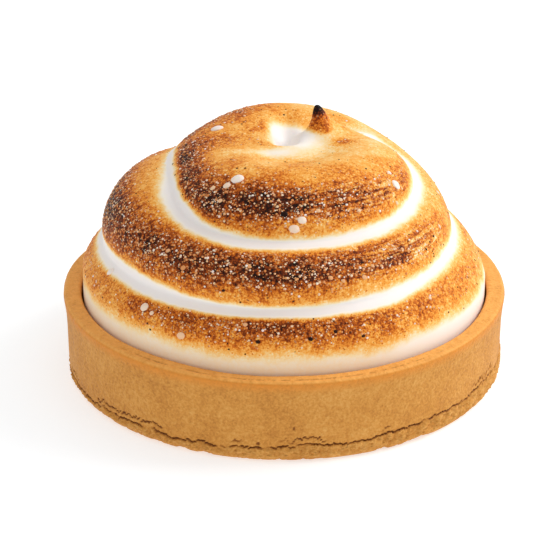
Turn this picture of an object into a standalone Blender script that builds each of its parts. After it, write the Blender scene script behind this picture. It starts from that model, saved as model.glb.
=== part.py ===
"""A small lemon meringue pie: a straight-sided shortcrust case, filled and topped by one piped spiral of
torched meringue. Metres, +Z up, origin at the centre of the case's flat base."""

import math

import bmesh
import bpy
import numpy as np

MM = 0.001

# The pastry case
RIM_RADIUS = 40.0 * MM
BASE_RADIUS = 39.4 * MM
CASE_HEIGHT = 15.5 * MM
WALL = 3.3 * MM
FLOOR = 3.0 * MM
FLARE = 3.0 * MM  # height of the slightly wider lip under the rim
LIP_ROUND = 0.7 * MM
BASE_ROUND = 1.2 * MM
WAVINESS = 0.18 * MM  # how far hand-pressed pastry strays from a true circle

# The meringue
GAP = 0.35 * MM  # between the meringue and the case
SHOULDER = 16.8 * MM  # height at which the lowest wrap is widest
TIP_HEIGHT = 48.0 * MM  # top of the burnt tip, and so of the pie
MERINGUE_FOOT = (FLOOR + GAP, 9.0 * MM, SHOULDER - 1.5 * MM)  # heights of the rings inside the case
CREASE = 1.0 * MM  # how softly one wrap runs into the next
TOP_CREASE = 4.0 * MM  # how much softer the wraps run together on top
TOP_CREASE_FROM = (0.90, 1.25)  # between these lifts, in radians, the crease softens
CORE = (26.0 * MM, 26.3 * MM)  # half width and height, above the shoulder, of the meringue inside the wraps

# The piped rope at every quarter turn, counter-clockwise from +X, in mm: the radius and height of its
# centre, then its half width and half height. It starts in the case and ends at the tip.
FIRST_TURN = -1.0
STATIONS = (
    (24.0, 15.0, 9.0, 8.0),
    (27.0, 15.5, 10.0, 8.0),
    (26.0, 16.0, 11.0, 10.5),
    (25.0, 16.0, 12.0, 12.5),
    (23.0, 14.5, 13.5, 14.5),
    (20.5, 18.5, 13.5, 13.5),
    (19.0, 26.5, 13.5, 12.0),
    (20.5, 28.0, 12.5, 7.5),
    (18.5, 25.5, 11.5, 12.0),
    (15.0, 30.0, 13.5, 13.5),
    (10.5, 29.8, 14.0, 12.8),
    (15.0, 33.5, 10.5, 10.5),
    (13.5, 33.0, 10.0, 10.0),
    (9.0, 32.5, 7.5, 8.5),
)
QUARTER = 0.25
TAIL = (1.98, 2.17)  # turns between which the rope thins out to nothing

# The hollow that the nozzle left on top: its half width, and how far it runs to the front and back
TOP_FROM = (35.0 * MM, 38.5 * MM)  # skin lower than this takes no part in the hollow and the tip
HOLLOW_PLACE = (0.1 * MM, 1.2 * MM)
HOLLOW_WIDTH = 2.0 * MM
HOLLOW_LENGTH = (1.9 * MM, 9.0 * MM)
HOLLOW_DEPTH = 2.8 * MM

# The tip that it pulled up: a fin with a knob at its high end. Each flank has its reach and its power,
# which draws a straight slope at 1 and a steeper one above.
TIP_PLACE = (6.6 * MM, 4.8 * MM)
TIP_HEADING = math.radians(32)  # of the fin's ridge, from +X towards +Y
TIP_LEAN = -0.8 * MM
FIN_ENDS = ((2.8 * MM, 2.0), (6.0 * MM, 1.4))  # the flanks before the knob and along the ridge
FIN_SIDES = ((1.8 * MM, 1.8), (3.4 * MM, 1.6))  # the flanks behind the ridge and in front of it
KNOB = (1.4 * MM, 3.0)
KNOB_SHARE = 0.3  # of the tip's height

# How finely the surfaces are faceted
COLUMNS = 96
MERINGUE_ROWS = 33
ROWS_CROWD = 1.45  # above 1, the rows lie closer together towards the top
LIP_STEPS = 3


def clear_scene():
    for item in list(bpy.data.objects):
        bpy.data.objects.remove(item, do_unlink=True)


def pastry_material():
    material = bpy.data.materials.new("baked_shortcrust")
    material.use_nodes = True
    shader = material.node_tree.nodes["Principled BSDF"]
    shader.inputs["Base Color"].default_value = (0.60, 0.32, 0.10, 1.0)
    shader.inputs["Roughness"].default_value = 0.75
    shader.inputs["Metallic"].default_value = 0.0
    return material


def meringue_material():
    material = bpy.data.materials.new("torched_meringue")
    material.use_nodes = True
    shader = material.node_tree.nodes["Principled BSDF"]
    shader.inputs["Base Color"].default_value = (0.86, 0.72, 0.55, 1.0)
    shader.inputs["Roughness"].default_value = 0.5
    shader.inputs["Metallic"].default_value = 0.0
    return material


def solid_from_rings(name, rings, material):
    """One closed body from rings of points, bottom first, its two ends closed by a fan."""
    mesh = bpy.data.meshes.new(name)
    body = bmesh.new()
    loops = [[body.verts.new(point) for point in ring] for ring in rings]
    for lower, upper in zip(loops, loops[1:]):
        for i, corner in enumerate(lower):
            following = (i + 1) % len(lower)
            body.faces.new((corner, lower[following], upper[following], upper[i]))
    for end in (loops[0], loops[-1]):
        middle = sum((vertex.co for vertex in end), start=end[0].co * 0) / len(end)
        hub = body.verts.new(middle)
        for i, corner in enumerate(end):
            body.faces.new((corner, end[(i + 1) % len(end)], hub))
    bmesh.ops.recalc_face_normals(body, faces=body.faces)
    body.to_mesh(mesh)
    body.free()
    mesh.shade_smooth()
    mesh.set_sharp_from_angle(angle=math.radians(50))
    mesh.materials.append(material)
    solid = bpy.data.objects.new(name, mesh)
    bpy.context.scene.collection.objects.link(solid)
    return solid


def arc(centre, radius, start, end, steps):
    """Points of an arc in the (radius, height) plane, in degrees from +X."""
    angles = [math.radians(start + (end - start) * i / steps) for i in range(steps + 1)]
    return [(centre[0] + radius * math.cos(a), centre[1] + radius * math.sin(a)) for a in angles]


def case_profile():
    """Outline of the case in the (radius, height) plane: base, outer wall, rim, inner wall, floor."""
    inner = RIM_RADIUS - WALL
    outer = [(BASE_RADIUS - BASE_ROUND, 0.0)]
    outer += arc((BASE_RADIUS - BASE_ROUND, BASE_ROUND), BASE_ROUND, -60, 0, 2)
    outer += [((BASE_RADIUS + RIM_RADIUS) / 2 - 0.1 * MM, CASE_HEIGHT - FLARE)]
    rim = arc((RIM_RADIUS - LIP_ROUND, CASE_HEIGHT - LIP_ROUND), LIP_ROUND, 0, 90, LIP_STEPS)
    rim += arc((inner + LIP_ROUND, CASE_HEIGHT - LIP_ROUND), LIP_ROUND, 100, 180, LIP_STEPS)
    return outer + rim + [(inner, (CASE_HEIGHT + FLOOR) / 2), (inner, FLOOR)]


def waviness(angle, height):
    """Small outward stray of the pastry, none at the flat base and the full amount at the rim."""
    waves = math.sin(2 * angle + 0.7) + 0.6 * math.sin(6 * angle + 2.1) + 0.4 * math.sin(10 * angle + 4.0)
    return WAVINESS * waves / 2 * min(1.0, height / CASE_HEIGHT)


def make_case():
    rings = []
    for radius, height in case_profile():
        ring = []
        for column in range(COLUMNS):
            angle = 2 * math.pi * column / COLUMNS
            reach = radius + waviness(angle, height)
            ring.append((reach * math.cos(angle), reach * math.sin(angle), height))
        rings.append(ring)
    return solid_from_rings("pastry_case", rings, pastry_material())


def rope_at(turn):
    """Radius, height, half width and half height of the rope at an array of turns, in metres."""
    table = np.array(STATIONS) * MM
    place = np.clip((turn - FIRST_TURN) / QUARTER, 0.0, len(table) - 1.0)
    left = np.minimum(place.astype(int), len(table) - 2)
    part = (place - left)[:, None]
    before, start = table[np.maximum(left - 1, 0)], table[left]
    end, after = table[left + 1], table[np.minimum(left + 2, len(table) - 1)]
    curve = 2 * start + (end - before) * part
    curve += (2 * before - 5 * start + 4 * end - after) * part**2
    curve += (3 * start - before - 3 * end + after) * part**3
    rope = curve / 2
    thinning = np.clip((turn - TAIL[0]) / (TAIL[1] - TAIL[0]), 0.0, 1.0)
    rope[:, 2:] *= np.sqrt(1.0 - thinning**2)[:, None]
    return rope.T


def smooth_max(a, b, width):
    blend = np.maximum(width - np.abs(a - b), 0.0) / width
    return np.maximum(a, b) + blend**3 * width / 6


def smooth_step(value, start, end):
    share = np.clip((value - start) / (end - start), 0.0, 1.0)
    return share**2 * (3 - 2 * share)


def skin_distance(turn, lift):
    """How far the skin is from the heart, the point on the axis at the shoulder's height, in a direction
    that rises by the angle lift, for an array of azimuths given as turns from 0 to 1."""
    across, rise = math.cos(lift), math.sin(lift)
    far = np.full_like(turn, 1 / math.hypot(across / CORE[0], rise / CORE[1]))
    crease = CREASE + TOP_CREASE * smooth_step(lift, *TOP_CREASE_FROM)
    for wrap in range(-1, 3):
        radius, height, half_width, half_height = rope_at(turn + wrap)
        half_width, half_height = np.maximum(half_width, 1e-6), np.maximum(half_height, 1e-6)
        square = (across / half_width) ** 2 + (rise / half_height) ** 2
        start_x, start_z = -radius / half_width, (SHOULDER - height) / half_height
        linear = across / half_width * start_x + rise / half_height * start_z
        inside = linear**2 - square * (start_x**2 + start_z**2 - 1)
        reach = (np.sqrt(np.maximum(inside, 0.0)) - linear) / square
        on_rope = (inside > 0) & (turn + wrap >= FIRST_TURN) & (turn + wrap < TAIL[1])
        far = smooth_max(far, np.where(on_rope, reach, 0.0), crease)
    return far


def flank(distance, before, after):
    """How far down its flanks a fin is at signed distances from its highest line: 0 on the line itself."""
    away = np.abs(distance)
    return np.where(distance < 0, (away / before[0]) ** before[1], (away / after[0]) ** after[1])


def shape_top(x, y, z):
    """Sinks the hollow into the upper skin and pulls the leaning tip up out of it, in place."""
    upper = smooth_step(z, *TOP_FROM)
    side, depth = (x - HOLLOW_PLACE[0]) / HOLLOW_WIDTH, y - HOLLOW_PLACE[1]
    depth /= np.where(depth < 0, *HOLLOW_LENGTH)
    z -= upper * HOLLOW_DEPTH * np.exp(-(side**2) - depth**2)
    east, north = x - TIP_PLACE[0], y - TIP_PLACE[1]
    along = east * math.cos(TIP_HEADING) + north * math.sin(TIP_HEADING)
    aside = east * math.sin(TIP_HEADING) - north * math.cos(TIP_HEADING)
    fin = np.exp(-flank(along, *FIN_ENDS) - flank(aside, *FIN_SIDES))
    knob = np.exp(-flank(np.hypot(east, north), KNOB, KNOB))
    pull = upper * (KNOB_SHARE * knob + (1 - KNOB_SHARE) * fin)
    pull /= pull.max()
    x += TIP_LEAN * pull**2
    z += (TIP_HEIGHT - z) * pull


def make_meringue():
    turn = np.arange(COLUMNS) / COLUMNS
    angle = 2 * np.pi * turn
    widest = RIM_RADIUS - WALL - GAP - WAVINESS
    radii = [np.full(COLUMNS, widest)] * len(MERINGUE_FOOT)
    heights = [np.full(COLUMNS, height) for height in MERINGUE_FOOT]
    for row in range(MERINGUE_ROWS):
        lift = math.pi / 2 * (1 - (1 - row / MERINGUE_ROWS) ** ROWS_CROWD)
        far = skin_distance(turn, lift)
        radii.append(np.minimum(far * math.cos(lift), widest))
        heights.append(SHOULDER + far * math.sin(lift))
    radius, z = np.concatenate(radii), np.concatenate(heights)
    around = np.tile(angle, len(radii))
    x, y = radius * np.cos(around), radius * np.sin(around)
    shape_top(x, y, z)
    rings = np.stack([x, y, z], 1).reshape(len(radii), COLUMNS, 3)
    return solid_from_rings("meringue", rings.tolist(), meringue_material())


def main():
    clear_scene()
    make_case()
    make_meringue()


main()
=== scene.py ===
"""The looks of a small lemon meringue pie: a piped and torched meringue spiral in a shortcrust case."""

import math

import bmesh
import bpy
from bpy.props import FloatProperty, IntProperty, PointerProperty
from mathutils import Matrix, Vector


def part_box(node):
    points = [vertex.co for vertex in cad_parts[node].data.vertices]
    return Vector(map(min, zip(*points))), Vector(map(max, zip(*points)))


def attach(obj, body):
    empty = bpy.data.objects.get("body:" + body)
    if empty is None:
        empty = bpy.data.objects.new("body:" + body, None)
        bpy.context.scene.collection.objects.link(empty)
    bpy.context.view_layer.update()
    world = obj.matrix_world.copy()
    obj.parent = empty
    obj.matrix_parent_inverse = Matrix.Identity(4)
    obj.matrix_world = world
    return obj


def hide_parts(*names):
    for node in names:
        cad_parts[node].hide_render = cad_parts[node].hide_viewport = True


bl_info = {
    "name": "Torched Meringue Pie",
    "version": (1, 0, 0),
    "blender": (4, 5, 0),
    "location": "3D View > Sidebar > Pie",
    "description": "Bakes a pastry case and pipes, torches and sugars the meringue on it",
    "category": "Add Mesh",
}

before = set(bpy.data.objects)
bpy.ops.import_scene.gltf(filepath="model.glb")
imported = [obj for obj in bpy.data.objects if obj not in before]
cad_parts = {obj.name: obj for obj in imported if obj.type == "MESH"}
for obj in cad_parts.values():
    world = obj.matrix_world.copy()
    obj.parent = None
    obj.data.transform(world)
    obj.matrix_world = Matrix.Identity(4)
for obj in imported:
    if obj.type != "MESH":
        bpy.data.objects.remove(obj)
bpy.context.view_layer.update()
CASE_LOW, CASE_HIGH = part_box("pastry_case")
MERINGUE_LOW, MERINGUE_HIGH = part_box("meringue")

MM = 0.001
WAVES = 0.24 * MM  # room kept free for the case's hand-pressed waves and grain
CASE_RADIUS = round((CASE_HIGH.y - CASE_LOW.y) / 2, 5)
RIM_RADIUS = CASE_RADIUS - WAVES
MERINGUE_RADIUS = round((MERINGUE_HIGH.x - MERINGUE_LOW.x) / 2, 5)
CLEAR = 1e-6  # small enough to count as nothing

# The piped rope at every quarter turn, counter-clockwise from +X, in mm: the radius and height of its
# centre, then its half width and half height. It starts in the case and ends at the tip.
FIRST_TURN = -1.0
LAST_TURN = 2.25
STATIONS = (
    (24.0, 15.0, 9.0, 8.0),
    (27.0, 15.5, 10.0, 8.0),
    (26.0, 16.0, 11.0, 10.5),
    (25.0, 16.0, 12.0, 12.5),
    (23.0, 14.5, 13.5, 14.5),
    (20.5, 18.5, 13.5, 13.5),
    (19.0, 26.5, 13.5, 12.0),
    (20.5, 28.0, 12.5, 7.5),
    (18.5, 25.5, 11.5, 12.0),
    (15.0, 30.0, 13.5, 13.5),
    (10.5, 29.8, 14.0, 12.8),
    (15.0, 33.5, 10.5, 10.5),
    (13.5, 33.0, 10.0, 10.0),
    (9.0, 32.5, 7.5, 8.5),
)
STATION_SCALE = 40.0  # mm that fill the height of a station curve
TAIL = (1.98, 2.17)  # turns between which the rope thins out
THINNEST = 0.02  # share of its thickness that the rope keeps at its end
WRAPS = range(-1, 3)  # whole turns to add to an azimuth to reach each wrap of the rope
CORE_WIDTH = 26.0 * MM  # the rope is wound on a core of this half width and height
CORE_HEIGHT = 26.3 * MM
TOP_CREASE = 4.5  # mm by which the creases are softer on the very top
TOP_CREASE_FROM = (0.9, 1.25)  # lifts above level, in radians, between which that sets in
FOOT_ROWS = 4  # rows of the skin that lie inside the case
FOOT_GAP = 1.5 * MM  # how far below the shoulder these rows end
ROW_CROWDING = 1.25  # above 1, the rows of the skin lie closer together near the top

# The hollow in the top and the tip beside it. A flank is its reach, at which it has fallen to about a
# third, and a power that says how suddenly it falls.
TOP_FROM = (35.0 * MM, 38.5 * MM)  # heights between which they set in
HOLLOW_PLACE = (0.1 * MM, 1.2 * MM)
HOLLOW_WIDTH = 2.0 * MM
HOLLOW_LENGTH = (1.9 * MM, 9.0 * MM)  # in front of its deepest place and behind it
TIP_PLACE = (6.6 * MM, 4.8 * MM)
TIP_LEAN = -0.8 * MM
TIP_HEADING = math.radians(32)  # the way the ridge runs from the tip
FIN_ENDS = ((2.8 * MM, 2.0), (6.0 * MM, 1.4))  # flanks before the tip and along the ridge
FIN_SIDES = ((1.8 * MM, 1.8), (3.4 * MM, 1.6))  # flanks behind the ridge and in front of it
KNOB = (1.4 * MM, 3.0)  # flank of the knob at the tip
KNOB_SHARE = 0.3  # how much of the tip's height is the knob's
RIDGE_START = (-0.5 * MM, 0.5 * MM)  # distances from the tip between which the ridge's line sets in
RIDGE_END = (11.0 * MM, 5.0 * MM)  # and between which it is gone again

# What the torch did along the rope: (turn, darkest browning, the section angle in degrees at which it is
# darkest, how far the dark band spreads in degrees, browning outside the band, and how far from the
# groove, in mm, the white has turned brown: on the rope's upper side and on its under side)
TORCH = (
    (-1.00, 0.44, 38, 18, 0.34, 3.6, 2.4), (-0.60, 0.44, 38, 18, 0.32, 3.4, 2.4),
    (-0.46, 0.42, 38, 16, 0.32, 3.2, 2.4), (-0.36, 0.50, 37, 15, 0.35, 4.2, 2.4),
    (-0.25, 0.58, 37, 14, 0.36, 4.5, 2.4), (-0.17, 0.50, 36, 15, 0.34, 4.2, 2.4),
    (-0.08, 0.40, 38, 17, 0.26, 2.5, 2.3), (0.05, 0.38, 38, 18, 0.25, 2.4, 2.3),
    (0.30, 0.40, 36, 22, 0.28, 1.8, 3.4), (0.40, 0.60, 32, 28, 0.32, 1.0, 4.0),
    (0.50, 0.84, 27, 26, 0.29, 1.5, 4.6), (0.58, 0.70, 28, 22, 0.33, 3.0, 4.4),
    (0.66, 0.72, 32, 21, 0.36, 3.6, 2.9), (0.76, 0.80, 33, 20, 0.35, 3.9, 1.9),
    (0.84, 0.64, 34, 19, 0.30, 3.4, 2.2), (0.92, 0.46, 32, 20, 0.26, 2.7, 2.4),
    (1.02, 0.34, 34, 22, 0.24, 2.6, 2.5), (1.20, 0.36, 40, 26, 0.26, 3.6, 3.0),
    (1.32, 0.50, 46, 30, 0.32, 3.2, 3.0), (1.44, 0.80, 44, 32, 0.34, 3.2, 3.6),
    (1.54, 0.88, 44, 29, 0.34, 3.2, 4.0), (1.66, 0.74, 46, 23, 0.34, 3.2, 2.6),
    (1.78, 0.77, 44, 20, 0.32, 3.2, 1.9), (1.86, 0.58, 40, 19, 0.30, 3.2, 2.7),
    (1.94, 0.42, 36, 18, 0.28, 3.2, 2.6), (2.04, 0.36, 36, 22, 0.27, 3.2, 2.6),
    (2.25, 0.34, 40, 24, 0.26, 3.2, 3.0),
)
TORCH_FULL = (1.0, 1.0, 90.0, 90.0, 1.0, 6.0, 6.0)  # what fills the height of each column's curve
BAND_SWAY = 16.0  # degrees by which the dark band wanders
UPPER_SIDE = (22.0, 42.0)  # section angles in degrees at which the under side turns into the upper
FADE = 2.6  # mm over which the white beside a groove turns brown
SKIRT = (17.0, 20.8)  # heights in mm between which the lowest wrap turns brown
SKIRT_SWAY = 2.6  # mm by which they wander
SKIRT_TURNS = (-0.06, -0.22)  # turns from which the skirt below keeps a little brown too: partly browning, partly painted shade and warm bounce light from the case
STREAKS = ((1.86, 0.10), (0.88, 0.10))  # (turn, reach in turns) where the torch left streaks
ALONG, ACROSS = 100.0, 12.0  # about how many mm a turn is, and a radian of the section

# Soft spots on the top, in mm: (x, reach in x, y, reach in y)
PALE_SPOTS = ((-1.5, 6.5, -4.6, 2.5), (3.0, 3.4, -0.6, 2.4))
BROWN_SPOTS = ((-3.8, 1.2, 7.0, 3.0), (10.5, 1.8, 0.0, 1.3))
SPOTS_FROM = (38.0 * MM, 40.0 * MM)  # heights between which they set in

# What the flame didn't reach: the hollow's inside and the strip behind the ridge
WHITE_FRONT = (-2.6 * MM, 0.8 * MM)  # measured from the hollow's deepest place
WHITE_BACK = (12.5 * MM, 6.5 * MM)
WHITE_SLANT = 0.15  # how much it leans to the left further back
WHITE_MIDDLE = 1.5 * MM  # measured from the hollow's middle
WHITE_WIDTH = 3.4 * MM
SHADE = (-2.4 * MM, 1.3 * MM)  # middle and width of the strip, measured from the ridge
EDGE = (-0.25 * MM, 0.28 * MM)  # the same for the ridge's burnt line
TIP_FOOT = (10.0 * MM, 7.5 * MM)  # where the tip's browned foot ends to the right

# Larger blisters by the place where they sit: (turn, section angle in degrees, radius in mm, tint)
BLISTERS = (
    (1.76, 20, 0.90, 0.90), (1.77, 28, 0.78, 0.95), (1.68, 66, 1.15, 1.00), (1.67, 57, 0.70, 0.90),
    (1.65, 51, 0.50, 0.80), (1.67, 41, 0.45, 0.70), (1.68, 31, 0.30, 0.60), (1.42, 78, 1.15, 1.00),
    (1.915, 38, 0.95, 1.00), (1.92, 50, 0.45, 0.95), (1.82, 42, 0.38, 0.75), (1.79, 36, 0.42, 0.70),
    (1.80, 31, 0.34, 0.70), (1.84, 28, 0.36, 0.80), (1.90, 22, 0.38, 0.80), (1.60, 44, 0.34, 0.70),
    (0.66, 22, 0.50, 0.35), (0.64, 33, 0.42, 0.60), (0.79, 24, 0.42, 0.55), (0.82, 19, 0.46, 0.60),
    (0.80, 17, 0.38, 0.55), (0.83, 28, 0.36, 0.60), (0.84, 25, 0.32, 0.60), (0.72, 35, 0.36, 0.50),
    (0.87, 36, 0.34, 0.60), (0.56, 20, 0.36, 0.70), (0.94, 30, 0.40, 0.85), (1.00, 40, 0.45, 0.90),
    (-0.43, 47, 0.80, 1.00), (-0.37, 34, 0.85, 0.90), (-0.36, 32, 0.45, 0.85), (-0.33, 20, 0.80, 0.75),
    (-0.12, 38, 0.36, 0.80), (-0.28, 37, 0.40, 0.60),
)
# The same for the burnt ones
CHARS = (
    (1.75, 33, 0.60, 0.0), (-0.27, 24, 0.40, 0.1), (-0.23, 27, 0.42, 0.0), (-0.21, 30, 0.36, 0.1),
    (-0.19, 24, 0.34, 0.2), (0.70, 6, 0.30, 0.1), (1.47, 60, 0.34, 0.1), (0.90, 24, 0.26, 0.1),
)
TURN_REACH = 0.01  # a blister's vertex is looked for no further than this from its turn
TURN_WEIGHT = 150  # how many degrees of the section a turn counts for in that search
INNER_WEIGHT = 90  # and how many count against a vertex that isn't on the rope

# The case, from the base up. The wall is straight for the most part and flares at the lip.
WALL = 3.1 * MM
FLOOR = 3.0 * MM
BASE_INSET = 0.6 * MM  # how much less the base's radius is than the rim's
HEEL_ROUND, LIP_ROUND = 1.2 * MM, 0.7 * MM
FOOT_STEP = 0.13 * MM  # height of one facet on the crumbly foot
HAND_WAVES = ((2.0, 0.7, 1.0), (6.0, 2.1, 0.6), (10.0, 4.0, 0.4))  # (waves round it, start, share)
WAVE_HEIGHT = 0.09  # mm
CRACK_LEVEL = 2.9 * MM  # height of the crack round the foot
CRACK_TILT = 0.03  # how much it climbs towards the right
CRACK_WANDER = 3.0  # mm
SECOND_RISE = 1.0 * MM  # height of the second crack above the first
SECOND_WANDER = 2.0  # mm
CRACK_WIDTH = 0.12 * MM
RIM_CRACK_WIDTH = 0.11 * MM
RIM_CRACK_INSET = 1.15 * MM  # how far in from the rim's edge it runs

# The stage, in metres
FLOOR_SIZE = 2.0
FLOOR_COLOUR = (0.62, 0.65, 0.67, 1.0)
FLOOR_GAP = 0.02 * MM  # the floor lies this far below the pie, so that the two don't flicker
KEY_PLACE = (0.50, 0.12, 0.42)
KEY_TARGET = (0.0, 0.0, 0.02)
KEY_SIZE = 0.35
CAMERA_AIM = (-0.018, 0.4)  # right of and above the middle of the base, as shares of the rim's radius
WHITE = (1.0, 1.0, 1.0, 1.0)


class Wire:
    """A node's output. Arithmetic on it adds the Math nodes to its tree."""

    def __init__(self, tree, socket):
        self.tree, self.socket = tree, socket

    def math(self, operation, *others, **settings):
        inputs = dict(enumerate((self, *others)))
        return self.tree.add("ShaderNodeMath", inputs, operation=operation, **settings)

    def flipped(self, operation, other):
        return self.tree.add("ShaderNodeMath", {0: other, 1: self}, operation=operation)

    def __add__(self, other):
        return self.math("ADD", other)

    def __sub__(self, other):
        return self.math("SUBTRACT", other)

    def __mul__(self, other):
        return self.math("MULTIPLY", other)

    def __truediv__(self, other):
        return self.math("DIVIDE", other)

    def __pow__(self, other):
        return self.math("POWER", other)

    def __gt__(self, other):
        return self.math("GREATER_THAN", other)

    def __lt__(self, other):
        return self.math("LESS_THAN", other)

    def __rsub__(self, other):
        return self.flipped("SUBTRACT", other)

    def __rtruediv__(self, other):
        return self.flipped("DIVIDE", other)

    def __neg__(self):
        return self * -1.0

    __radd__, __rmul__ = __add__, __mul__

    def clamped(self):
        return self.math("ADD", 0.0, use_clamp=True)

    def step(self, start, end):
        """0 below start and 1 above end, smooth between. With start above end it falls instead."""
        if start > end:
            return 1.0 - self.step(end, start)
        settings = {"interpolation_type": "SMOOTHSTEP"}
        return self.tree.add("ShaderNodeMapRange", {0: self, 1: start, 2: end}, **settings)

    def bell(self, centre, width):
        """1 at the centre, falling to about a third at one width from it."""
        away = (self - centre) / width
        return (-(away * away)).math("EXPONENT")


class Tree:
    """A node tree under construction."""

    def __init__(self, nodes, links):
        self.nodes, self.links = nodes, links

    def add(self, kind, inputs=None, output=0, stops=None, points=None, **settings):
        """Adds one node: its settings first, then a value or a Wire for each named or numbered input."""
        node = self.nodes.new(kind)
        for name, value in settings.items():
            setattr(node, name, value)
        if stops:
            self.fill_ramp(node.color_ramp, stops)
        if points:
            self.fill_curve(node.mapping, points)
        for key, value in (inputs or {}).items():
            self.feed(node.inputs[key], value)
        self.last = node
        return Wire(self, node.outputs[output])

    def feed(self, socket, value):
        if isinstance(value, Wire):
            self.links.new(value.socket, socket)
        else:
            socket.default_value = value

    def also(self, output):
        """Another output of the node added last."""
        return Wire(self, self.last.outputs[output])

    @staticmethod
    def fill_ramp(ramp, stops):
        while len(ramp.elements) < len(stops):
            ramp.elements.new(1.0)
        for element, (place, colour) in zip(ramp.elements, stops):
            element.position, element.color = place, (*colour, 1.0)

    @staticmethod
    def fill_curve(mapping, points):
        line = mapping.curves[0]
        while len(line.points) < len(points):
            line.points.new(0.5, 0.5)
        for point, place in zip(line.points, points):
            point.location = place
            point.handle_type = "AUTO"
        mapping.update()

    def vector(self, x, y, z):
        return self.add("ShaderNodeCombineXYZ", {0: x, 1: y, 2: z})

    def parts(self, vector):
        """A vector's x, y and z."""
        x = self.add("ShaderNodeSeparateXYZ", {0: vector})
        return x, self.also(1), self.also(2)

    def mix(self, factor, a, b):
        """a where the factor is 0 and b where it is 1."""
        return self.add("ShaderNodeMix", {0: factor, 2: a, 3: b}, data_type="FLOAT")

    def scaled(self, vector, factor):
        inputs = {0: vector, "Scale": factor}
        return self.add("ShaderNodeVectorMath", inputs, operation="SCALE")

    def noise(self, vector, scale, detail=2.0, roughness=0.5):
        inputs = {"Vector": vector, "Scale": scale, "Detail": detail, "Roughness": roughness}
        return self.add("ShaderNodeTexNoise", inputs)

    def cells(self, vector, scale, output="Distance"):
        return self.add("ShaderNodeTexVoronoi", {"Vector": vector, "Scale": scale}, output=output)


class GeometryTree(Tree):
    """A geometry node tree with named inputs for its sizes."""

    def __init__(self, name, **sizes):
        self.group = bpy.data.node_groups.new(name, "GeometryNodeTree")
        super().__init__(self.group.nodes, self.group.links)
        interface = self.group.interface
        interface.new_socket("Geometry", in_out="INPUT", socket_type="NodeSocketGeometry")
        interface.new_socket("Geometry", in_out="OUTPUT", socket_type="NodeSocketGeometry")
        self.sizes = sizes
        for size, value in sizes.items():
            kind = "NodeSocketInt" if isinstance(value, int) else "NodeSocketFloat"
            interface.new_socket(size, in_out="INPUT", socket_type=kind)
        self.source = self.nodes.new("NodeGroupInput")

    def size(self, name):
        return Wire(self, self.source.outputs[name])

    def mesh(self):
        """The mesh that the tree is run on."""
        return self.size("Geometry")

    def store(self, geometry, **marks):
        """Stores each value on the points under its name."""
        settings = {"data_type": "FLOAT", "domain": "POINT"}
        for name, value in marks.items():
            inputs = {"Geometry": geometry, "Name": name, "Value": value}
            geometry = self.add("GeometryNodeStoreNamedAttribute", inputs, **settings)
        return geometry

    def read(self, name, kind="FLOAT"):
        return self.add("GeometryNodeInputNamedAttribute", {"Name": name}, data_type=kind)

    def finish(self, geometry, material):
        """Ends the tree in Realize Instances and Set Material."""
        geometry = self.add("GeometryNodeRealizeInstances", {"Geometry": geometry})
        geometry = self.add("GeometryNodeSetMaterial", {"Geometry": geometry, "Material": material})
        self.links.new(geometry.socket, self.nodes.new("NodeGroupOutput").inputs[0])

    def make(self, name, source=None):
        """Runs the tree on a copy of a mesh, or on nothing, and returns its result as a plain mesh."""
        piece = bpy.data.objects.new(name, source.copy() if source else bpy.data.meshes.new(name))
        bpy.context.scene.collection.objects.link(piece)
        modifier = piece.modifiers.new(name, "NODES")
        modifier.node_group = self.group
        for item in self.group.interface.items_tree:
            if item.in_out == "INPUT" and item.name in self.sizes:
                modifier[item.identifier] = self.sizes[item.name]
        graph = bpy.context.evaluated_depsgraph_get()
        settings = {"preserve_all_data_layers": True, "depsgraph": graph}
        mesh = bpy.data.meshes.new_from_object(piece.evaluated_get(graph), **settings)
        piece.modifiers.remove(modifier)
        piece.data = mesh
        mesh.name = name
        if not mesh.polygons:
            raise RuntimeError(f"{name} came out empty")
        return piece


class Finish(Tree):
    """A material under construction, on one Principled shader."""

    def __init__(self, name, **constants):
        self.material = bpy.data.materials.new(name)
        self.material.use_nodes = True
        super().__init__(self.material.node_tree.nodes, self.material.node_tree.links)
        self.shader = self.nodes["Principled BSDF"]
        for key, value in constants.items():
            self.shader.inputs[key.replace("_", " ")].default_value = value

    def place(self):
        return self.add("ShaderNodeTexCoord", output="Object")

    def attribute(self, name):
        return self.add("ShaderNodeAttribute", output="Fac", attribute_name=name)

    def tinted(self, factor, base, colour):
        """The base colour, mixed with a plain one."""
        inputs = {0: factor, 6: base, 7: (*colour, 1.0)}
        return self.add("ShaderNodeMix", inputs, output=2, data_type="RGBA")

    def ramp(self, value, stops):
        return self.add("ShaderNodeValToRGB", {0: value}, stops=stops)

    def paint(self, colour, roughness, height, bump, distance):
        inputs = {"Strength": bump, "Distance": distance, "Height": height}
        self.feed(self.shader.inputs["Normal"], self.add("ShaderNodeBump", inputs))
        self.feed(self.shader.inputs["Base Color"], colour)
        self.feed(self.shader.inputs["Roughness"], roughness)
        return self.material


def srgb(red, green, blue):
    """Linear colour from the 0 to 255 numbers of a paint chart."""
    values = (channel / 255 for channel in (red, green, blue))
    return tuple(v / 12.92 if v <= 0.04045 else ((v + 0.055) / 1.055) ** 2.4 for v in values)


TOAST_COLOURS = (
    (0.00, srgb(250, 243, 239)),
    (0.07, srgb(255, 246, 232)),
    (0.16, srgb(255, 226, 172)),
    (0.26, srgb(254, 196, 108)),
    (0.38, srgb(245, 162, 62)),
    (0.50, srgb(216, 116, 32)),
    (0.62, srgb(166, 76, 20)),
    (0.75, srgb(108, 44, 14)),
    (0.88, srgb(58, 25, 13)),
    (1.00, srgb(28, 15, 11)),
)


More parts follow.
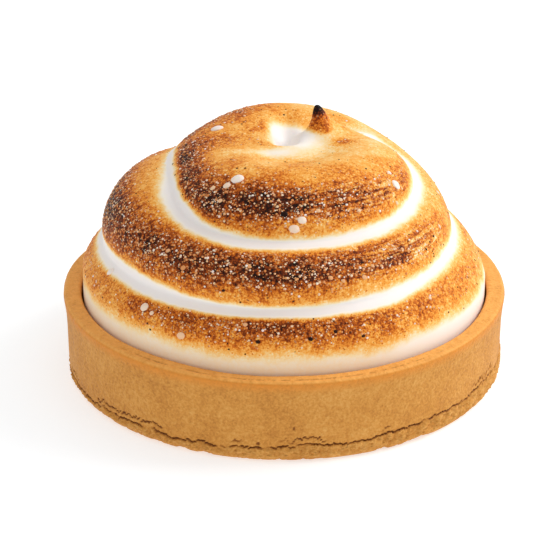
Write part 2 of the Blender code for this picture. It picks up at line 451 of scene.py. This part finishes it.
def meringue_finish():
    """White meringue, torched from gold to near black, with a granular sugar crust."""
    finish = Finish(
        "torched_meringue", Subsurface_Weight=0.06, Subsurface_Scale=0.8 * MM, Specular_IOR_Level=0.10,
    )
    finish.shader.inputs["Subsurface Radius"].default_value = (1.0, 0.7, 0.5)
    place = finish.place()
    toast, streaky = finish.attribute("toast"), finish.attribute("streaky")
    along, across = finish.attribute("along"), finish.attribute("across")
    grain = finish.noise(place, 3400.0, 2.0, 0.6) - 0.5
    mottle = finish.noise(place, 1050.0, 3.0, 0.6) - 0.5
    cloud = finish.noise(place, 190.0, 2.0, 0.5) - 0.5
    pebble = finish.cells(place, 1500.0)
    pebble_colour = finish.cells(place, 1500.0, "Color")
    pebble_tint = finish.add("ShaderNodeSeparateColor", {0: pebble_colour})
    browned = toast.step(0.04, 0.45)
    wavy = finish.noise(finish.vector(along * 0.10, across * 0.62, cloud * 1.6), 1.0, 2.0, 0.5)
    ridges = 1.0 - ((wavy - 0.5) * 9.0).math("ABSOLUTE").clamped()
    rough = toast.step(0.10, 0.60) * 0.74 + toast.step(0.04, 0.24) * 0.2
    value = toast + rough * (grain * 0.9 + mottle * 0.5 + cloud * 0.5 + (pebble - 0.42) * 0.4)
    value = value + streaky * (0.08 - ridges * 0.36)
    freckles = pebble.step(0.36, 0.16) * (pebble_tint > 0.62) * toast.step(0.12, 0.3)
    base = finish.ramp(value + freckles * 0.24, TOAST_COLOURS)
    beads = pebble.step(0.32, 0.16) * (pebble_tint > 0.40) * toast.step(0.26, 0.60)
    colour = finish.tinted(beads * 0.5, base, srgb(246, 192, 140))
    height = browned * (grain * 0.4 + mottle * 0.6) + beads * 0.9 + streaky * ridges * 1.5
    height = height + finish.noise(place, 450.0, 2.0) * 0.2
    roughness = (0.5 + browned * 0.06 - beads * 0.14).clamped()
    return finish.paint(colour, roughness, height, 0.8, 0.22 * MM)


def sugar_finish():
    """The light, slightly glassy skin of a sugar blister."""
    finish = Finish(
        "sugar_blister", Specular_IOR_Level=0.12, Subsurface_Weight=0.1, Subsurface_Scale=0.5 * MM,
    )
    tint = finish.attribute("tint")
    stops = (
        (0.0, srgb(212, 124, 58)), (0.5, srgb(234, 164, 106)),
        (0.8, srgb(246, 206, 166)), (1.0, srgb(252, 236, 224)),
    )
    colour = finish.ramp(tint, stops)
    height = finish.noise(finish.place(), 4000.0)
    return finish.paint(colour, 0.48 + tint * 0.05, height, 0.3, 0.05 * MM)


def char_finish():
    """Burnt sugar, nearly black."""
    finish = Finish("burnt_sugar", Specular_IOR_Level=0.12)
    tint = finish.attribute("tint")
    colour = finish.ramp(tint, ((0.0, srgb(34, 14, 8)), (1.0, srgb(112, 52, 18))))
    height = finish.noise(finish.place(), 4000.0)
    return finish.paint(colour, 0.45 + tint * 0.1, height, 0.3, 0.05 * MM)


def pastry_finish():
    """Sandy golden shortcrust, deeper gold at the rim, with painted shade under the rim's edge and in the
    cracks, pits and crumbly hollows, and painted light on the rim's top face and the crumbly foot.
    """
    finish = Finish("baked_shortcrust", Specular_IOR_Level=0.22)
    place = finish.place()
    depth, rim = finish.attribute("depth"), finish.attribute("rim")
    fine = finish.noise(place, 2300.0, 2.0, 0.6) - 0.5
    sandy = finish.noise(place, 800.0, 3.0, 0.6) - 0.5
    patch = finish.noise(place, 140.0, 2.0, 0.5) - 0.5
    # painted shade darkens the cracks, pits and crumbly hollows
    value = 0.5 + fine * 0.55 + sandy * 0.30 + patch * 0.26 - depth * 0.8
    # painted light: the crumbly foot is lighter, standing in for the light it catches where it bulges out
    value = value + finish.attribute("crumbly") * 0.10
    stops = (
        (0.0, srgb(90, 46, 14)), (0.25, srgb(172, 106, 38)), (0.5, srgb(210, 144, 62)),
        (0.75, srgb(232, 174, 94)), (1.0, srgb(246, 204, 134)),
    )
    base = finish.ramp(value, stops)
    # the rim band is deeper gold: partly its baking, partly painted shade under the rim's top edge
    golden = finish.tinted(rim * (0.72 + sandy * 1.2 + fine * 0.8), base, srgb(226, 140, 48))
    # painted light: the rim's top face is lighter, as if lit from above
    lip = finish.attribute("lip") * (0.75 + sandy * 1.3 + fine * 0.8)
    golden = finish.tinted(lip, golden, srgb(250, 180, 92))
    # painted shade: the cracks, pits and crumbly hollows turn dark brown
    colour = finish.tinted((depth * 0.9).clamped(), golden, srgb(126, 70, 22))
    height = fine * 0.8 + sandy * 1.2
    return finish.paint(colour, 0.62 + sandy * 0.1, height, 0.85, 0.24 * MM)


def rope_share(turn):
    """A turn as a share of the rope's length."""
    return (turn - FIRST_TURN) / (LAST_TURN - FIRST_TURN)


def rope_curve(tree, turn, points, full):
    """A value along the rope. The curve holds 0 to 1, so its points are shares of the full value."""
    inputs = {"Value": rope_share(turn).clamped()}
    return tree.add("ShaderNodeFloatCurve", inputs, points=points) * full


def station_curve(tree, turn, column):
    """One of the rope's four sizes at a turn, in metres."""
    last = len(STATIONS) - 1
    points = [(i / last, row[column] / STATION_SCALE) for i, row in enumerate(STATIONS)]
    return rope_curve(tree, turn, points, STATION_SCALE) * MM


def torch_curve(tree, turn, column):
    """One column of TORCH at a turn."""
    full = TORCH_FULL[column]
    points = [(rope_share(row[0]), row[column] / full) for row in TORCH]
    return rope_curve(tree, turn, points, full)


def rope_reach(tree, turn, across, rise):
    """Where a ray from the heart leaves the rope at a turn: (reach, angle round the section)."""
    radius, height, half_width, half_height = (station_curve(tree, turn, column) for column in range(4))
    thinning = ((turn - TAIL[0]) / (TAIL[1] - TAIL[0])).clamped()
    kept = (1.0 - thinning * thinning).math("SQRT").math("MAXIMUM", THINNEST)
    half_width, half_height = half_width * kept, half_height * kept
    slope_x, slope_z = across / half_width, rise / half_height
    start_x, start_z = -radius / half_width, (tree.size("Shoulder") - height) / half_height
    square = slope_x * slope_x + slope_z * slope_z
    linear = slope_x * start_x + slope_z * start_z
    inside = linear * linear - square * (start_x * start_x + start_z * start_z - 1.0)
    reach = (inside.math("MAXIMUM", 0.0).math("SQRT") - linear) / square
    on_rope = (inside > 0.0) * (turn > FIRST_TURN - CLEAR) * (turn < TAIL[1])
    reach = reach * on_rope
    angle = (start_z + reach * slope_z).math("ARCTAN2", start_x + reach * slope_x)
    return reach, angle


def pipe_skin(tree):
    """The wrapped skin of the rope, before its top is shaped, with what the torch needs to know."""
    columns, rows = tree.size("Columns"), tree.size("Rows")
    inputs = {"Size X": 1.0, "Size Y": 1.0, "Vertices X": columns + 1.0, "Vertices Y": rows + 1.0}
    grid = tree.add("GeometryNodeMeshGrid", inputs)
    u, v, _ = tree.parts(tree.add("GeometryNodeInputPosition"))
    around, row = u + 0.5, ((v + 0.5) * rows).math("ROUND")
    share = ((row - FOOT_ROWS) / (rows - FOOT_ROWS)).clamped()
    lift = (1.0 - (1.0 - share) ** tree.size("Crowding")) * (math.pi / 2)
    across, rise = lift.math("COSINE"), lift.math("SINE")
    core_x, core_z = across / tree.size("Core Width"), rise / tree.size("Core Height")
    far = 1.0 / (core_x * core_x + core_z * core_z).math("SQRT")
    crease = tree.size("Crease") + lift.step(*TOP_CREASE_FROM) * TOP_CREASE * MM
    nearest, second = far * 0.0, far * 0.0
    turn, angle = around + 1.0, far * 0.0 + math.pi / 2
    for wrap in WRAPS:
        here = around + float(wrap)
        reach, section = rope_reach(tree, here, across, rise)
        ahead = reach > nearest
        second = second.math("MAXIMUM", reach.math("MINIMUM", nearest))
        nearest = nearest.math("MAXIMUM", reach)
        turn, angle = tree.mix(ahead, turn, here), tree.mix(ahead, angle, section)
        far = far.math("SMOOTH_MAX", reach, crease)
    radius = (far * across).math("MINIMUM", tree.size("Radius"))
    height = tree.size("Shoulder") + far * rise
    foot_share = ((row - 1.0) / (FOOT_ROWS - 2.0)).clamped()
    foot_top = tree.size("Shoulder") - FOOT_GAP
    foot_height = tree.mix(foot_share, tree.size("Foot"), foot_top)
    on_foot = row < FOOT_ROWS - 0.5
    radius = tree.mix(on_foot, radius, tree.size("Radius") * (row > 0.5))
    height = tree.mix(on_foot, height, foot_height)
    azimuth = around * (2 * math.pi)
    place = tree.vector(radius * azimuth.math("COSINE"), radius * azimuth.math("SINE"), height)
    groove = nearest - second + (nearest < CLEAR) * far
    geometry = tree.store(grid, turn=turn, angle=angle, groove=groove)
    geometry = tree.add("GeometryNodeSetPosition", {"Geometry": geometry, "Position": place})
    return tree.add("GeometryNodeMergeByDistance", {"Geometry": geometry, "Distance": CLEAR})


def fall(away, reach, power):
    """How far down a flank is at a distance from its top: 0 on top, 1 at its reach."""
    return (away.math("ABSOLUTE") / reach) ** power


def shape_top(tree, geometry):
    """Sinks the hollow and pulls up the tip: a fin, steep to the left and behind, with a long ridge."""
    x, y, z = tree.parts(tree.add("GeometryNodeInputPosition"))
    upper = z.step(*TOP_FROM)
    hollow_x, hollow_y = tree.size("Hollow X"), tree.size("Hollow Y")
    hollow = y.bell(hollow_y, tree.mix(y > hollow_y, *HOLLOW_LENGTH)) * upper
    hollow = hollow * x.bell(hollow_x, HOLLOW_WIDTH)
    white = (y - hollow_y).step(*WHITE_FRONT) * y.step(*WHITE_BACK)
    white = white * (x + y * WHITE_SLANT).bell(hollow_x + WHITE_MIDDLE, WHITE_WIDTH)
    sunk = z - hollow * tree.size("Hollow Depth")
    east, north = x - tree.size("Tip X"), y - tree.size("Tip Y")
    along = east * math.cos(TIP_HEADING) + north * math.sin(TIP_HEADING)
    aside = east * math.sin(TIP_HEADING) - north * math.cos(TIP_HEADING)
    before, after = (fall(along, *flank) for flank in FIN_ENDS)
    behind, front = (fall(aside, *flank) for flank in FIN_SIDES)
    flank = tree.mix(along > 0.0, before, after) + tree.mix(aside > 0.0, behind, front)
    away = (along * along + aside * aside).math("SQRT")
    knob = (-fall(away, *KNOB)).math("EXPONENT") * upper
    fin = (-flank).math("EXPONENT") * upper
    pull = knob * KNOB_SHARE + fin * (1.0 - KNOB_SHARE)
    lifted = sunk + (tree.size("Tip Height") - sunk) * pull
    place = tree.vector(x + pull * pull * tree.size("Tip Lean"), y, lifted)
    on_ridge = along.step(*RIDGE_END) * along.step(*RIDGE_START)
    shade, edge = aside.bell(*SHADE) * on_ridge, aside.bell(*EDGE) * on_ridge
    geometry = tree.store(geometry, tip=fin, knob=knob, hollow=white, shade=shade, edge=edge)
    return tree.add("GeometryNodeSetPosition", {"Geometry": geometry, "Position": place})


def soft_spots(x, y, spots):
    """Soft oval spots, added up."""
    ovals = (x.bell(a * MM, wide * MM) * y.bell(b * MM, deep * MM) for a, wide, b, deep in spots)
    return sum(ovals)


def torch(tree, geometry):
    """Stores how browned each point is, with painted shade low on the skirt, and its place along and across
    the rope in mm.
    """
    position = tree.add("GeometryNodeInputPosition")
    x, y, z = tree.parts(position)
    turn, angle, groove = tree.read("turn"), tree.read("angle"), tree.read("groove")
    cloud = tree.noise(position, 200.0, 3.0) - 0.5
    degrees = angle * (180 / math.pi)
    strength, middle, spread, gold, over, under = (torch_curve(tree, turn, i) for i in range(1, 7))
    away = (degrees + cloud * BAND_SWAY - middle) / spread
    band = (-(away * away)).math("EXPONENT")
    full = tree.mix(degrees.step(*UPPER_SIDE), under, over)
    frayed = cloud * 0.9 + (tree.noise(position, 700.0, 2.0) - 0.5) * 0.9
    clear = ((groove / MM + frayed - full) / FADE).step(-1.0, 0.0)
    toast = (gold + (strength - gold) * band) * clear
    skirt = (z / MM + cloud * SKIRT_SWAY).step(*SKIRT)
    # painted shade: low on the skirt, the front and left keep a share of brown. It stands for the rim's
    # shade and the case's warm bounce light, besides a little real browning
    skirt_share = turn.step(*SKIRT_TURNS) * 0.26 + 0.04
    toast = toast * tree.mix(turn < 0.3, 1.0, tree.mix(skirt, skirt_share, 1.0))
    hollow, tip, knob = tree.read("hollow"), tree.read("tip"), tree.read("knob")
    foot = tip.step(0.14, 0.58) * x.step(*TIP_FOOT) * 0.48
    pale, patch = soft_spots(x, y, PALE_SPOTS), soft_spots(x, y, BROWN_SPOTS)
    top = z.step(*SPOTS_FROM)
    drift = (tree.noise(position, 110.0, 2.0) - 0.5) * top
    toast = toast * (1.0 + drift * 1.5)
    toast = toast * (1.0 - (pale * 0.8 * top).clamped()) * (1.0 - (hollow * 1.7).clamped())
    toast = toast * (1.0 - tree.read("shade") * 0.9) + patch * top * 0.22
    burnt = foot + knob.step(0.25, 0.85) * 0.5
    toast = toast.math("MAXIMUM", tree.read("edge") * 0.72).math("MAXIMUM", burnt)
    streaky = sum(turn.bell(*place) for place in STREAKS)
    streaky = streaky * (degrees - middle).bell(0.0, 20.0) * toast.step(0.3, 0.5)
    marks = {"along": turn * ALONG, "across": angle * ACROSS, "streaky": streaky.clamped()}
    return tree.store(geometry, toast=toast, **marks)


def scatter(tree, surface, density, dot, smallest, largest, crowding):
    """Flattened dots on a surface, most of them near the smallest size, each with its own tint.

    A Random Value node draws from its own seed, so size, shape and tint don't go together.
    """
    inputs = {"Mesh": surface, "Density": density, "Seed": tree.size("Seed")}
    points = tree.add("GeometryNodeDistributePointsOnFaces", inputs)
    turned = tree.also("Rotation")
    chance, shape, tint = (
        tree.add("FunctionNodeRandomValue", {"Seed": seed}, output=1, data_type="FLOAT")
        for seed in (3, 5, 8)
    )
    size = smallest + (largest - smallest) * chance ** crowding
    scale = tree.vector(size, size * (0.75 + shape * 0.25), size * (0.35 + shape * 0.2))
    points = tree.store(points, tint=tint)
    inputs = {"Points": points, "Instance": dot, "Rotation": turned, "Scale": scale}
    return tree.add("GeometryNodeInstanceOnPoints", inputs)


def skin_spots(skin, places):
    """The vertex of the skin nearest to each place given by turn and section angle."""
    turns, angles, grooves = (skin.attributes[name].data for name in ("turn", "angle", "groove"))
    spots = []
    for turn, degrees, _, _ in places:
        best, found = 1e9, None
        for i, vertex_turn in enumerate(turns):
            off = abs(vertex_turn.value - turn)
            if off > TURN_REACH:
                continue
            off = off * TURN_WEIGHT + abs(math.degrees(angles[i].value) - degrees)
            off += (grooves[i].value < CLEAR) * INNER_WEIGHT
            if off < best:
                best, found = off, i
        if found is None:
            raise RuntimeError(f"the rope has no turn {turn}")
        spots.append(found)
    return spots


def place_blisters(name, places, skin, finish):
    """Sets one flattened blister on the skin at each place."""
    marks = bpy.data.meshes.new(name + "_places")
    spots = skin_spots(skin, places)
    marks.from_pydata([skin.vertices[i].co for i in spots], [], [])
    columns = {
        "size": ("FLOAT", "value", [row[2] * MM for row in places]),
        "tint": ("FLOAT", "value", [row[3] for row in places]),
        "up": ("FLOAT_VECTOR", "vector", [skin.vertices[i].normal for i in spots]),
    }
    for mark, (kind, field, values) in columns.items():
        for item, value in zip(marks.attributes.new(mark, kind, "POINT").data, values):
            setattr(item, field, value)
    tree = GeometryTree(name)
    dot = tree.add("GeometryNodeMeshIcoSphere", {"Radius": 1.0, "Subdivisions": 3})
    position = tree.add("GeometryNodeInputPosition")
    wobble = tree.noise(position, 1.2, 1.0) - 0.5
    lumpy = tree.scaled(position, wobble * 0.5)
    dot = tree.add("GeometryNodeSetPosition", {"Geometry": dot, "Offset": lumpy})
    points = tree.add("GeometryNodeMeshToPoints", {"Mesh": tree.mesh()})
    up, size = tree.read("up", "FLOAT_VECTOR"), tree.read("size")
    turned = tree.add("FunctionNodeAlignRotationToVector", {"Vector": up}, axis="Z")
    scale = tree.vector(size, size * 0.8, size * 0.35)
    inputs = {"Points": points, "Instance": dot, "Rotation": turned, "Scale": scale}
    tree.finish(tree.add("GeometryNodeInstanceOnPoints", inputs), finish)
    piece = tree.make(name, marks)
    piece.data.shade_smooth()
    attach(piece, "root")


class PIE_PG_meringue(bpy.types.PropertyGroup):
    """Sizes of the piped meringue."""

    columns: IntProperty(name="Columns", description="Facets round the meringue", default=560, min=60)
    rows: IntProperty(name="Rows", description="Facets from the case to the top", default=165, min=30)
    radius: FloatProperty(
        name="Radius", description="Widest radius, just clear of the case", default=MERINGUE_RADIUS,
        unit="LENGTH",
    )
    shoulder: FloatProperty(
        name="Shoulder", description="Height at which the lowest wrap is widest", default=16.8 * MM,
        unit="LENGTH",
    )
    crease: FloatProperty(
        name="Crease", description="How softly one wrap runs into the next", default=0.4 * MM,
        unit="LENGTH",
    )
    tip_height: FloatProperty(
        name="Tip height", description="Height of the burnt tip", default=MERINGUE_HIGH.z, unit="LENGTH",
    )
    hollow_depth: FloatProperty(
        name="Hollow depth", description="How far the top sinks beside the tip", default=2.8 * MM,
        unit="LENGTH",
    )


class PIE_PG_sugar(bpy.types.PropertyGroup):
    """The sugar blisters and burnt specks on the browned skin."""

    blisters: FloatProperty(
        name="Blisters", description="Light blisters for each square millimetre of fully browned skin",
        default=3.3, min=0.0,
    )
    specks: FloatProperty(
        name="Specks", description="Burnt specks for each square millimetre of golden skin",
        default=0.12, min=0.0,
    )
    seed: IntProperty(name="Seed", description="Changes where the dots fall", default=4)


class PIE_PG_stage(bpy.types.PropertyGroup):
    """The floor, lights and camera."""

    elevation: FloatProperty(
        name="Elevation", description="How far above level the camera looks from",
        default=math.radians(25.03), subtype="ANGLE",
    )
    distance: FloatProperty(
        name="Distance", description="Camera distance from the pie's axis", default=12 * CASE_RADIUS,
        unit="LENGTH",
    )
    lens: FloatProperty(name="Lens", description="Focal length in mm", default=170.5)
    key_power: FloatProperty(name="Key light", description="Power of the key light in watts", default=2.5)
    dome: FloatProperty(name="Dome", description="Brightness of the white surroundings", default=0.68)
    floor_glow: FloatProperty(
        name="Floor glow", description="Light the floor gives of itself, as a lit table does", default=0.55,
    )


class MeringueOperator(bpy.types.Operator):
    """Pipes the meringue spiral, shapes its top and torches it"""

    bl_idname = "pie.meringue"
    bl_label = "Pipe Meringue"

    def execute(self, context):
        sizes = context.scene.pie_meringue
        tree = GeometryTree(
            "piped_meringue", Columns=sizes.columns, Rows=sizes.rows, Radius=sizes.radius,
            Shoulder=sizes.shoulder, Crease=sizes.crease, Crowding=ROW_CROWDING, Foot=MERINGUE_LOW.z,
            **{
                "Core Width": CORE_WIDTH, "Core Height": CORE_HEIGHT,
                "Hollow X": HOLLOW_PLACE[0], "Hollow Y": HOLLOW_PLACE[1],
                "Hollow Depth": sizes.hollow_depth,
                "Tip X": TIP_PLACE[0], "Tip Y": TIP_PLACE[1], "Tip Height": sizes.tip_height,
                "Tip Lean": TIP_LEAN,
            },
        )
        geometry = torch(tree, shape_top(tree, pipe_skin(tree)))
        tree.finish(geometry, meringue_finish())
        piece = tree.make("meringue_skin")
        piece.data.shade_smooth()
        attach(piece, "root")
        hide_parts("meringue")
        return {"FINISHED"}


class SugarOperator(bpy.types.Operator):
    """Scatters light sugar blisters and burnt specks over the browned skin"""

    bl_idname = "pie.sugar"
    bl_label = "Scatter Sugar"

    def execute(self, context):
        sizes = context.scene.pie_sugar
        skin = bpy.data.objects["meringue_skin"].data
        kinds = (
            ("sugar_blisters", sizes.blisters, 0.10 * MM, 0.31 * MM, 2.0, (0.30, 0.66), sugar_finish()),
            ("burnt_specks", sizes.specks, 0.08 * MM, 0.26 * MM, 3.0, (0.15, 0.35), char_finish()),
        )
        for offset, (name, density, smallest, largest, crowding, onset, finish) in enumerate(kinds):
            tree = GeometryTree(name, Seed=sizes.seed + offset)
            toast = tree.read("toast")
            rate = toast.step(*onset) * tree.read("tip").step(0.25, 0.1) * density / (MM * MM)
            inputs = {"Segments": 6, "Rings": 3, "Radius": 1.0}
            dot = tree.add("GeometryNodeMeshUVSphere", inputs)
            dots = scatter(tree, tree.mesh(), rate, dot, smallest, largest, crowding)
            tree.finish(dots, finish)
            piece = tree.make(name, skin)
            piece.data.shade_smooth()
            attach(piece, "root")
        place_blisters("large_blisters", BLISTERS, skin, bpy.data.materials["sugar_blister"])
        place_blisters("burnt_blisters", CHARS, skin, bpy.data.materials["burnt_sugar"])
        return {"FINISHED"}


def case_profile():
    """Outline of the case in the (radius, height) plane, from the middle of the base round to the floor."""
    base, inner, top = RIM_RADIUS - BASE_INSET, RIM_RADIUS - WALL, CASE_HIGH.z
    high = top - LIP_ROUND
    outline = [(0.0, 0.0)] + [(base * share, 0.0) for share in (0.5, 0.9, 0.95)]

    def turned(centre_x, centre_z, radius, start, end, steps):
        angles = [math.radians(start + (end - start) * i / steps) for i in range(steps + 1)]
        return [(centre_x + radius * math.cos(a), centre_z + radius * math.sin(a)) for a in angles]

    outline += turned(base - HEEL_ROUND, HEEL_ROUND, HEEL_ROUND, -90, 0, 8)
    heights = [HEEL_ROUND + FOOT_STEP * i for i in range(1, 31)]
    heights += [heights[-1] + (high - heights[-1]) * i / 30 for i in range(1, 30)]
    for height in heights:
        share = height / high
        flare = (RIM_RADIUS - base) * (0.4 * share + 0.6 * max(0.0, (share - 0.7) / 0.3) ** 1.5)
        outline.append((base + flare, height))
    outline += turned(RIM_RADIUS - LIP_ROUND, high, LIP_ROUND, 0, 90, 9)
    width = WALL - 2 * LIP_ROUND
    outline += [(RIM_RADIUS - LIP_ROUND - width * i / 8, top) for i in range(1, 8)]
    outline += turned(inner + LIP_ROUND, high, LIP_ROUND, 90, 180, 8)
    outline += [(inner, high - (high - FLOOR) * share) for share in (0.1, 0.25, 0.5, 0.8, 1.0)]
    return outline + [(inner * 0.5, FLOOR), (0.0, FLOOR)]


def turned_case(columns):
    """The case as a plain lathe mesh, closed at the middle of its base and of its floor."""
    outline = case_profile()
    body = bmesh.new()
    rings = []
    for radius, height in outline:
        count = columns if radius > 0 else 1
        angles = [2 * math.pi * i / columns for i in range(count)]
        corners = [(radius * math.cos(a), radius * math.sin(a), height) for a in angles]
        rings.append([body.verts.new(corner) for corner in corners])
    for lower, upper in zip(rings, rings[1:]):
        for i in range(columns):
            j = (i + 1) % columns
            facet = [lower[i % len(lower)], lower[j % len(lower)]]
            facet += [upper[j % len(upper)], upper[i % len(upper)]]
            body.faces.new(list(dict.fromkeys(facet)))
    bmesh.ops.recalc_face_normals(body, faces=body.faces)
    mesh = bpy.data.meshes.new("turned_case")
    body.to_mesh(mesh)
    body.free()
    return mesh


def bake_relief(tree, surface):
    """Hand-pressed waves, sandy relief, the crumbly foot with its crack, and the crack along the rim."""
    position = tree.add("GeometryNodeInputPosition")
    x, y, z = tree.parts(position)
    radius = (x * x + y * y).math("SQRT")
    azimuth = y.math("ARCTAN2", x)
    outer = radius.step(RIM_RADIUS - 2.6 * MM, RIM_RADIUS - 1.4 * MM)
    waves = sum((azimuth * count + start).math("SINE") * share for count, start, share in HAND_WAVES)
    waves = waves * (z / CASE_HIGH.z).clamped() * WAVE_HEIGHT * MM
    ring = tree.vector(azimuth.math("COSINE"), azimuth.math("SINE"), z * 4.0)
    wander = tree.noise(ring, 4.0, 5.0, 0.65) - 0.5 + (tree.noise(ring, 50.0, 3.0, 0.7) - 0.5) * 0.6
    level = (CRACK_LEVEL + x * CRACK_TILT) + wander * CRACK_WANDER * MM
    opening = tree.noise(ring, 9.0, 4.0, 0.6).step(0.34, 0.50)
    crack = (z - level).bell(0.0, CRACK_WIDTH) * opening * outer
    second_level = level + SECOND_RISE + wander * SECOND_WANDER * MM
    second = (z - second_level).bell(0.0, CRACK_WIDTH) * outer
    second = second * tree.noise(ring, 4.0, 3.0).step(0.48, 0.58)
    crumbly = (level - z).step(-0.3 * MM, 0.5 * MM) * outer
    lumps = tree.noise(position, 760.0, 4.0, 0.75).step(0.62, 0.38)
    ragged = tree.noise(ring, 16.0, 3.0, 0.6).step(0.45, 0.75) * z.step(1.4 * MM, 0.2 * MM) * outer
    sandy = tree.noise(position, 420.0, 4.0, 0.6) - 0.5
    pits = tree.cells(position, 170.0).step(0.07, 0.03) * outer
    in_front = ((-0.6 - y / RIM_RADIUS) * 4.0).clamped()
    rim_line = radius - (RIM_RADIUS - RIM_CRACK_INSET) - wander * 0.5 * MM
    rim_crack = rim_line.bell(0.0, RIM_CRACK_WIDTH) * tree.noise(ring, 40.0, 3.0, 0.7).step(0.44, 0.54)
    rim_crack = rim_crack * (z > CASE_HIGH.z - 0.5 * MM) * in_front
    free = z.step(0.2 * MM, 1.3 * MM)  # keeps the underside flat on the floor
    crumbs = (lumps * 0.5 - 0.32 * free) * crumbly * free
    out = waves + sandy * 0.16 * MM * free - crumbs * MM - ragged * 0.4 * MM
    out = out - (crack * 0.55 + second * 0.3 + pits * 0.25 + rim_crack * 0.25) * MM
    # how much painted shade darkens the cracks, pits and crumbly hollows
    depth = crack + second * 0.8 + pits * 0.6 + rim_crack * 0.8 + lumps * crumbly * 0.10
    # the rim band: partly deeper baking, partly painted shade under the top edge
    rim = z.step(CASE_HIGH.z - 2.6 * MM, CASE_HIGH.z - 0.5 * MM)
    # the rim's top face, painted lighter as if lit from above
    lip = z.step(CASE_HIGH.z - 0.5 * MM, CASE_HIGH.z - 0.15 * MM)
    geometry = tree.store(surface, depth=depth, rim=rim, lip=lip, crumbly=crumbly)
    shift = tree.scaled(tree.add("GeometryNodeInputNormal"), out)
    return tree.add("GeometryNodeSetPosition", {"Geometry": geometry, "Offset": shift})


class PIE_PG_case(bpy.types.PropertyGroup):
    """Sizes of the pastry case."""

    columns: IntProperty(name="Columns", description="Facets round the case", default=900, min=60)


class CaseOperator(bpy.types.Operator):
    """Bakes the shortcrust case with its crumbly foot and cracks"""

    bl_idname = "pie.case"
    bl_label = "Bake Case"

    def execute(self, context):
        tree = GeometryTree("baked_case")
        tree.finish(bake_relief(tree, tree.mesh()), pastry_finish())
        piece = tree.make("shortcrust_case", turned_case(context.scene.pie_case.columns))
        piece.data.shade_smooth()
        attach(piece, "root")
        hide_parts("pastry_case")
        return {"FINISHED"}


def lay_floor(scene, glow):
    """A pale floor, which isn't part of the pie."""
    finish = Finish("pale_floor", Roughness=0.9, Specular_IOR_Level=0.1)
    finish.shader.inputs["Base Color"].default_value = FLOOR_COLOUR
    finish.shader.inputs["Emission Color"].default_value = WHITE
    finish.shader.inputs["Emission Strength"].default_value = glow
    body = bmesh.new()
    bmesh.ops.create_grid(body, x_segments=1, y_segments=1, size=FLOOR_SIZE)
    mesh = bpy.data.meshes.new("floor")
    body.to_mesh(mesh)
    body.free()
    mesh.materials.append(finish.material)
    floor = bpy.data.objects.new("floor", mesh)
    floor.location.z = -FLOOR_GAP
    scene.collection.objects.link(floor)


def add_lights(scene, key_power, dome):
    """White surroundings, and a soft key light from the right."""
    world = bpy.data.worlds.new("studio")
    world.use_nodes = True
    background = world.node_tree.nodes["Background"]
    background.inputs["Color"].default_value = WHITE
    background.inputs["Strength"].default_value = dome
    scene.world = world
    light = bpy.data.lights.new("key", "AREA")
    light.size, light.energy = KEY_SIZE, key_power
    key = bpy.data.objects.new("key", light)
    key.location = KEY_PLACE
    beam = Vector(KEY_TARGET) - Vector(KEY_PLACE)
    key.rotation_euler = beam.to_track_quat("-Z", "Y").to_euler()
    scene.collection.objects.link(key)


def set_camera(scene, elevation, distance, lens):
    """A long lens, looking down at the pie from the front."""
    camera = bpy.data.cameras.new("camera")
    camera.lens, camera.sensor_width, camera.clip_start = lens, 36.0, 0.01
    item = bpy.data.objects.new("camera", camera)
    right, up = CAMERA_AIM
    aim = Vector((right * CASE_RADIUS, 0.0, up * CASE_RADIUS))
    away = Vector((0.0, -math.cos(elevation), math.sin(elevation)))
    item.location = aim + distance * away
    item.rotation_euler = (math.pi / 2 - elevation, 0.0, 0.0)
    scene.collection.objects.link(item)
    scene.camera = item


class StageOperator(bpy.types.Operator):
    """Sets the pale floor, the soft studio light and the camera"""

    bl_idname = "pie.stage"
    bl_label = "Set Stage"

    def execute(self, context):
        scene, stage = context.scene, context.scene.pie_stage
        lay_floor(scene, stage.floor_glow)
        add_lights(scene, stage.key_power, stage.dome)
        set_camera(scene, stage.elevation, stage.distance, stage.lens)
        scene.view_settings.view_transform = "Standard"
        return {"FINISHED"}


class PIE_PT_panel(bpy.types.Panel):
    """Lists the steps that make the pie."""

    bl_label = "Meringue Pie"
    bl_idname = "PIE_PT_panel"
    bl_space_type = "VIEW_3D"
    bl_region_type = "UI"
    bl_category = "Pie"

    def draw(self, context):
        for operator, group in STEPS:
            self.layout.operator(operator.bl_idname)
            if group:
                values = getattr(context.scene, group)
                for name in values.__annotations__:
                    self.layout.prop(values, name)


GROUPS = {
    "pie_case": PIE_PG_case,
    "pie_meringue": PIE_PG_meringue,
    "pie_sugar": PIE_PG_sugar,
    "pie_stage": PIE_PG_stage,
}
STEPS = (
    (CaseOperator, "pie_case"),
    (MeringueOperator, "pie_meringue"),
    (SugarOperator, "pie_sugar"),
    (StageOperator, "pie_stage"),
)


def register():
    for name, group in GROUPS.items():
        bpy.utils.register_class(group)
        setattr(bpy.types.Scene, name, PointerProperty(type=group))
    for operator, _ in STEPS:
        bpy.utils.register_class(operator)
    bpy.utils.register_class(PIE_PT_panel)


def unregister():
    bpy.utils.unregister_class(PIE_PT_panel)
    for operator, _ in reversed(STEPS):
        bpy.utils.unregister_class(operator)
    for name, group in GROUPS.items():
        delattr(bpy.types.Scene, name)
        bpy.utils.unregister_class(group)


def main():
    register()
    bpy.ops.pie.case()
    bpy.ops.pie.meringue()
    bpy.ops.pie.sugar()
    bpy.ops.pie.stage()


if __name__ == "__main__":
    main()
